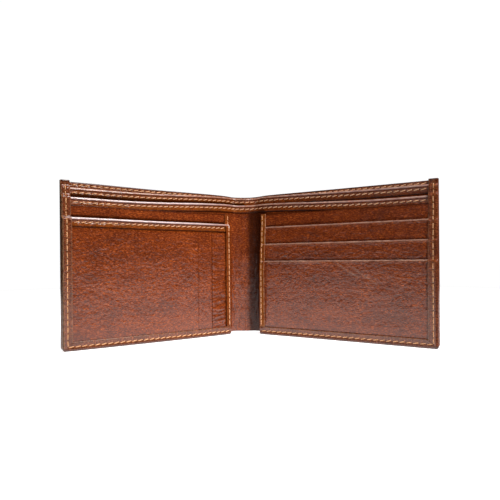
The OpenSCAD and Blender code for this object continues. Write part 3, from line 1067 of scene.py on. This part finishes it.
def seam(name, side, runs, surface, nodes, bent=False, slant=0.24, seed=0):
    """A row of stitches, each a twisted two-ply thread that dips into its holes.

    surface(s, z) is the depth of the leather's face.
    """
    around, rings = 12, 15
    rng = np.random.RandomState(seed)
    angle = np.linspace(0, 2 * math.pi, around, endpoint=False)[:, None]
    share = np.linspace(-1, 1, rings)[None, :]
    taper = np.sqrt(np.clip(1 - np.abs(share) ** 6, 0.02, 1))
    points, uv, dip = [], [], []
    for middle, heading, pitch in runs:
        half = pitch / 2 - 0.16
        lean = side * slant * abs(heading[0]) + rng.uniform(-0.06, 0.06)
        across = np.array([-heading[1], heading[0]])
        direction = heading * math.cos(lean) + across * math.sin(lean)
        aside = across * math.cos(lean) - heading * math.sin(lean)
        ply = 1 + 0.14 * np.cos(2 * angle - 5.0 * share * half)
        radius = THREAD_RADIUS * taper * ply * rng.uniform(0.92, 1.06)
        rise = 0.12 * (1 - share ** 4) - 0.5 * np.abs(share) ** 7
        side_step = radius * np.cos(angle)
        s = middle[0] + direction[0] * share * half + aside[0] * side_step
        z = middle[1] + direction[1] * share * half + aside[1] * side_step
        face = surface(np.full_like(s, middle[0]), np.full_like(s, middle[1]))
        depth = face - 0.06 + rise + 0.85 * radius * np.sin(angle)
        points.append(place(side, s, depth, z))
        uv.append(np.stack([s, z], -1) / MM)
        dip.append(np.abs(share) ** 5 + 0 * s)
    points, uv, dip = np.array(points), np.array(uv), np.array(dip)
    count = len(points)
    index = np.arange(around * rings).reshape(around, rings)
    following = np.roll(index, -1, axis=0)
    quads = np.stack(
        [index[:, :-1], following[:, :-1], following[:, 1:], index[:, 1:]], -1).reshape(-1, 4)
    size = around * rings + 2
    caps = np.concatenate([
        np.stack([index[:, ring], following[:, ring], np.full(around, centre)], -1)
        for ring, centre in ((0, size - 2), (rings - 1, size - 1))])
    ends = points[:, :, (0, rings - 1)].mean(1)
    points = np.concatenate([points.reshape(count, -1, 3), ends], 1)
    uv = np.concatenate([uv.reshape(count, -1, 2), uv[:, 0, (0, rings - 1)]], 1)
    dip = np.concatenate([dip.reshape(count, -1), np.ones((count, 2))], 1)
    offsets = np.arange(count)[:, None, None] * size
    piece = make_object(
        name, points.reshape(-1, 3), (quads[None] + offsets).reshape(-1, 4),
        (caps[None] + offsets).reshape(-1, 3), uv.reshape(-1, 2), {"dip": dip.ravel()}, THREAD)
    if bent:
        attach_bent(piece, side, "thread", float(surface(0.0, 0.0)), *nodes)
    else:
        attach(piece, side, "thread", *nodes)


def hem_seams(side):
    """The seams of the shell's, the divider's and the inner panel's hems."""
    end = OUTER - STRIP - 0.8
    for number, (layer, (node, drop, *_)) in enumerate(HEMS.items()):
        face, top = HIGH[layer + "_spine"][1:]
        runs = [(point + np.array([0, edge_rise(layer, side, point[0])]), heading, pitch)
                for point, heading, pitch in seam_points((0.0, top - drop), (end, top - drop))]
        half_node = sided(node, side)
        seam(half_node + "_thread", side, runs, lambda s, z, f=face: f + 0 * s,
             (half_node, node + "_spine"), bent=True, seed=number)


def edge_seam(side):
    """The seam that holds the turned edge, along the base and up the outer side."""
    end = OUTER - EDGE_SEAM
    runs = seam_points((STACK + INNER_SEAM, EDGE_SEAM), (end, EDGE_SEAM))
    runs += seam_points((end, EDGE_SEAM), (end, HEIGHT - EDGE_SEAM))
    node = sided("edge_stitch", side)
    seam(node + "_thread", side, runs,
         lambda s, z: strip_front(side, s, np.where(s > end - 1, z, 0.0)), (node,),
         seed=20 + side)


def pocket_seam():
    """The hem seam of the left pocket."""
    face, top = HIGH["left_pocket"][1:]
    start, end, height = STACK + INNER_STRIP + 0.7, OUTER - STRIP - 0.8, top - HEM_SEAM
    seam("pocket_hem_thread", LEFT, seam_points((start, height), (end, height)),
         lambda s, z: face - 0.1 + 0 * s, ("pocket_hem_stitch",), seed=31)


def inner_seam(side):
    """The seam of a base panel's turned inner edge."""
    at = STACK + INNER_SEAM
    seam(sided("inner_edge_thread", side), side,
         seam_points((at, STRIP + 0.9), (at, BASE_TOP - 0.6)),
         lambda s, z: inner_strip_front(side, z) + 0 * s,
         (sided("inner_edge_stitch", side),), seed=32 + side)


# ---- building the wallet

for side in (LEFT, RIGHT):
    shell(side)
    turned_edge(side)
    lining(side, "shell_lining")
    crossing_layer(side, "bill_divider", 11, lambda top: [(top - 4, 5, 0.45)],
                   HIGH["inner_panel_spine"][2])
    lining(side, "inner_lining")
    crossing_layer(side, "inner_panel", 21, lambda top: [(top - 8, 9, 0.5), (40, 40, 1.2)],
                   pale=0.9)
    hem_seams(side)
    edge_seam(side)

plain_liner(LEFT, "pocket_stiffener", CARDBOARD, "cardboard")
for side, node in ((LEFT, "left_pocket_lining"), (RIGHT, "slot_bag_middle"),
                   (RIGHT, "slot_bag_bottom")):
    cloth_piece = plain_liner(side, node, CLOTH, "lining_cloth")
left_pocket()
card_slot("card_slot_top", 81, HIGH["card_slot_middle"][2])
card_slot("card_slot_middle", 84, HIGH["card_slot_bottom"][2])
card_slot("card_slot_bottom", 87, STRIP, SCRATCHES)
pocket_seam()
for side, node in ((LEFT, "left_pocket_base"), (RIGHT, "card_slot_base")):
    base_panel(side, node)
    inner_turn(side, node)
    inner_seam(side)

# ---- stage, light and camera

WHITE = 1.03


def camera_or_else(nodes, seen, unseen):
    """One shader for the camera's own rays and another for all the rest."""
    straight = nodes.add("LightPath").outputs["Is Camera Ray"]
    return nodes.add("MixShader", straight, unseen, seen).outputs[0]


def stage_floor():
    """A floor that looks plain white to the camera; to all other rays it is no lit surface but a
    glowing pool round the wallet, a painted light that the wallet reflects and is lit by.
    """
    work = bmesh.new()
    bmesh.ops.create_circle(work, cap_ends=True, segments=96, radius=6.0)
    mesh = bpy.data.meshes.new("floor")
    work.to_mesh(mesh)
    work.free()
    material, nodes = new_material("floor_paper")
    position = nodes.add("NewGeometry").outputs["Position"]
    away = nodes.add("VectorMath", position, operation="LENGTH").outputs["Value"]
    pool = nodes.ramp(away, (0.36, 0.92), (0.62, 0.01))
    beyond = nodes.ramp(away, (0.25, 0.78), (0.75, 1.0))
    near = nodes.ramp(away, (0.06, 0.9), (0.16, 0.0))
    paper = nodes.add("BsdfDiffuse", Color=pool)
    # Painted light: for diffuse rays the floor glows close round the wallet, and for glossy rays
    # it glows in a wider pool, which the wallet's gloss reflects.
    glow, dim, mirrored = (
        nodes.add("Emission", Color=colour, Strength=strength).outputs[0]
        for colour, strength in ((beyond, WHITE), (near, 1.5), (pool, 2.2)))
    seen = nodes.add("AddShader", paper.outputs[0], glow).outputs[0]
    glossy = nodes.add("LightPath").outputs["Is Glossy Ray"]
    unseen = nodes.add("MixShader", glossy, dim, mirrored).outputs[0]
    nodes.add("OutputMaterial", camera_or_else(nodes, seen, unseen))
    mesh.materials.append(material)
    add_object("floor", mesh)


def area_light(name, place_m, size, power, colour=(1, 1, 1)):
    """A soft light that faces the middle of the wallet."""
    light = bpy.data.lights.new(name, "AREA")
    light.shape = "RECTANGLE"
    light.size, light.size_y = size
    light.energy = power
    light.color = colour
    obj = add_object(name, light)
    obj.location = place_m
    heading = mathutils.Vector((0, 0, 0.05)) - mathutils.Vector(place_m)
    obj.rotation_euler = heading.to_track_quat("-Z", "Y").to_euler()


def studio_world():
    """Pale surroundings, brighter for the camera than as a light."""
    world = bpy.data.worlds.new("studio")
    nodes = Shader(world)
    seen = nodes.add("Background", (1, 1, 1, 1), WHITE).outputs[0]
    lit = nodes.add("Background", (1, 0.98, 0.97, 1), 0.02).outputs[0]
    nodes.add("OutputWorld", camera_or_else(nodes, seen, lit))
    bpy.context.scene.world = world


def camera():
    """Level camera in front of the open wallet, at about half its height."""
    data = bpy.data.cameras.new("camera")
    data.lens, data.sensor_width = 33.05, 36.0
    data.shift_x, data.shift_y = 0.0532, 0.0217
    data.clip_start, data.clip_end = 0.01, 50
    obj = add_object("camera", data)
    obj.location = (-0.0140, -0.2701, 0.0470)
    obj.rotation_euler = (math.pi / 2, math.radians(0.48), 0)
    bpy.context.scene.camera = obj


stage_floor()
area_light("key", (0.4, -0.58, 0.63), (0.3, 0.3), 4.9, (1, 0.97, 0.94))
area_light("top", (0.34, -0.23, 0.75), (0.4, 0.4), 5.4)
area_light("fill", (-0.62, -0.98, 0.7), (0.6, 0.6), 1.4, (0.85, 0.93, 1))
area_light("back", (-0.2, 0.9, 0.6), (0.8, 0.5), 5.0)
studio_world()
camera()
bpy.context.scene.view_settings.view_transform = "Standard"
